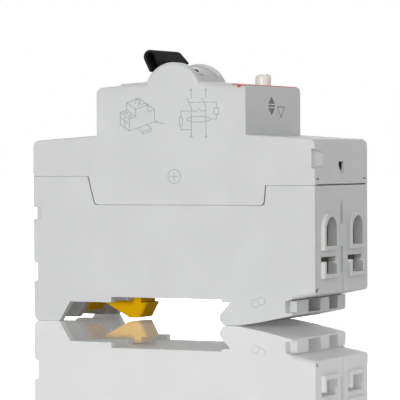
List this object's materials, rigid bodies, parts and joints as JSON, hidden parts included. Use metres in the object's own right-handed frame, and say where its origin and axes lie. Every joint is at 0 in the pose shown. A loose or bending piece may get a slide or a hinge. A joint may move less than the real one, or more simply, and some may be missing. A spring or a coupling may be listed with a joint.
{
  "type": "residual current device",
  "caption": "Rail-mounted residual current device: stepped light grey housing, black toggle on a hump, test button, screw terminals at both ends and a sprung rail clip.",
  "frame": {"origin": "centre of the bounding box at the bottom of the rail feet", "axes": "+X along the device from the clip end to the hook end, +Y across the two modules away from the pictured side, +Z from the rail towards the toggle"},
  "size_m": [0.0872, 0.035, 0.0739],
  "materials": {
    "housing": "fine matte moulded thermoplastic, light grey",
    "label_red": "printed red film",
    "clip_yellow": "moulded yellow plastic",
    "button_cream": "smooth cream plastic",
    "toggle_black": "satin black plastic",
    "insulator_dark": "dark thermoset",
    "insulator_pale": "pale moulded plastic",
    "steel": "zinc plated steel",
    "copper": "bare copper",
    "contact_silver": "silver alloy contact",
    "bronze": "spring bronze strip"
  },
  "bodies": {
    "housing": {"base_housing": "housing", "top_cover": "housing", "front_label": "label_red", "toggle_axle": "steel", "carrier_shaft": "steel", "fixed_tip_near": "contact_silver", "fixed_tip_far": "contact_silver", "line_strap_near": "copper", "line_strap_far": "copper", "load_strap_near": "copper", "load_strap_far": "copper", "braid_near": "copper", "braid_far": "copper", "sensor_core": "insulator_dark", "sensor_winding": "copper", "relay_bracket": "insulator_pale", "relay_case": "insulator_pale", "trip_pin": "steel", "test_leaf": "bronze", "test_resistor": "insulator_pale", "button_spring": "steel"},
    "toggle": {"toggle_handle": "toggle_black", "toggle_drum": "housing", "toggle_spring": "steel"},
    "carrier": {"contact_carrier": "insulator_dark", "moving_contact_near": "copper", "moving_contact_far": "copper", "moving_tip_near": "contact_silver", "moving_tip_far": "contact_silver"},
    "clip": {"din_clip": "clip_yellow"},
    "button": {"test_button": "button_cream"},
    "plunger": {"relay_plunger": "steel"},
    "lever": {"trip_lever": "insulator_dark"},
    "screw_line_near": {"line_screw_near": "steel"},
    "screw_line_far": {"line_screw_far": "steel"},
    "screw_load_near": {"load_screw_near": "steel"},
    "screw_load_far": {"load_screw_far": "steel"},
    "cage_line_near": {"line_cage_near": "steel"},
    "cage_line_far": {"line_cage_far": "steel"},
    "cage_load_near": {"load_cage_near": "steel"},
    "cage_load_far": {"load_cage_far": "steel"}
  },
  "joints": [
    {"name": "toggle_turn", "type": "hinge", "parent": "housing", "child": "toggle", "pos_m": [0.0005, -0.0078, 0.062], "axis": [0, 1, 0], "range_deg": [0, 70]},
    {"name": "carrier_turn", "type": "hinge", "parent": "housing", "child": "carrier", "pos_m": [0.0005, 0, 0.029], "axis": [0, 1, 0], "range_deg": [-10.07, 0], "deforming": ["braid_near", "braid_far"]},
    {"name": "clip_slide", "type": "slide", "parent": "housing", "child": "clip", "axis": [-1, 0, 0], "range_m": [0, 0.0046], "stiffness_N_per_m": 1500},
    {"name": "button_press", "type": "slide", "parent": "housing", "child": "button", "axis": [0, 0, -1], "range_m": [0, 0.0013], "stiffness_N_per_m": 800, "deforming": ["button_spring"]},
    {"name": "plunger_slide", "type": "slide", "parent": "housing", "child": "plunger", "axis": [-1, 0, 0], "range_m": [0, 0.0015]},
    {"name": "lever_turn", "type": "hinge", "parent": "housing", "child": "lever", "pos_m": [0.0093, -0.009, 0.0521], "axis": [0, 1, 0], "range_deg": [0, 9.6]},
    {"name": "line_near_screw_turn", "type": "hinge", "parent": "housing", "child": "screw_line_near", "pos_m": [-0.0335, -0.00875, 0.0437], "axis": [0, 0, -1], "range_deg": [0, 2070]},
    {"name": "line_near_cage_lift", "type": "slide", "parent": "housing", "child": "cage_line_near", "axis": [0, 0, 1], "range_m": [0, 0.0046]},
    {"name": "line_far_screw_turn", "type": "hinge", "parent": "housing", "child": "screw_line_far", "pos_m": [-0.0335, 0.00875, 0.0437], "axis": [0, 0, -1], "range_deg": [0, 2070]},
    {"name": "line_far_cage_lift", "type": "slide", "parent": "housing", "child": "cage_line_far", "axis": [0, 0, 1], "range_m": [0, 0.0046]},
    {"name": "load_near_screw_turn", "type": "hinge", "parent": "housing", "child": "screw_load_near", "pos_m": [0.0335, -0.00875, 0.0437], "axis": [0, 0, -1], "range_deg": [0, 2070]},
    {"name": "load_near_cage_lift", "type": "slide", "parent": "housing", "child": "cage_load_near", "axis": [0, 0, 1], "range_m": [0, 0.0046]},
    {"name": "load_far_screw_turn", "type": "hinge", "parent": "housing", "child": "screw_load_far", "pos_m": [0.0335, 0.00875, 0.0437], "axis": [0, 0, -1], "range_deg": [0, 2070]},
    {"name": "load_far_cage_lift", "type": "slide", "parent": "housing", "child": "cage_load_far", "axis": [0, 0, 1], "range_m": [0, 0.0046]}
  ],
  "couplings": [
    {"joint": "carrier_turn", "follows": "toggle_turn", "ratio": -0.14377},
    {"joint": "lever_turn", "follows": "plunger_slide", "rad_per_m": 111.1},
    {"joint": "line_near_screw_turn", "follows": "line_near_cage_lift", "rad_per_m": 7854},
    {"joint": "line_far_screw_turn", "follows": "line_far_cage_lift", "rad_per_m": 7854},
    {"joint": "load_near_screw_turn", "follows": "load_near_cage_lift", "rad_per_m": 7854},
    {"joint": "load_far_screw_turn", "follows": "load_far_cage_lift", "rad_per_m": 7854}
  ]
}
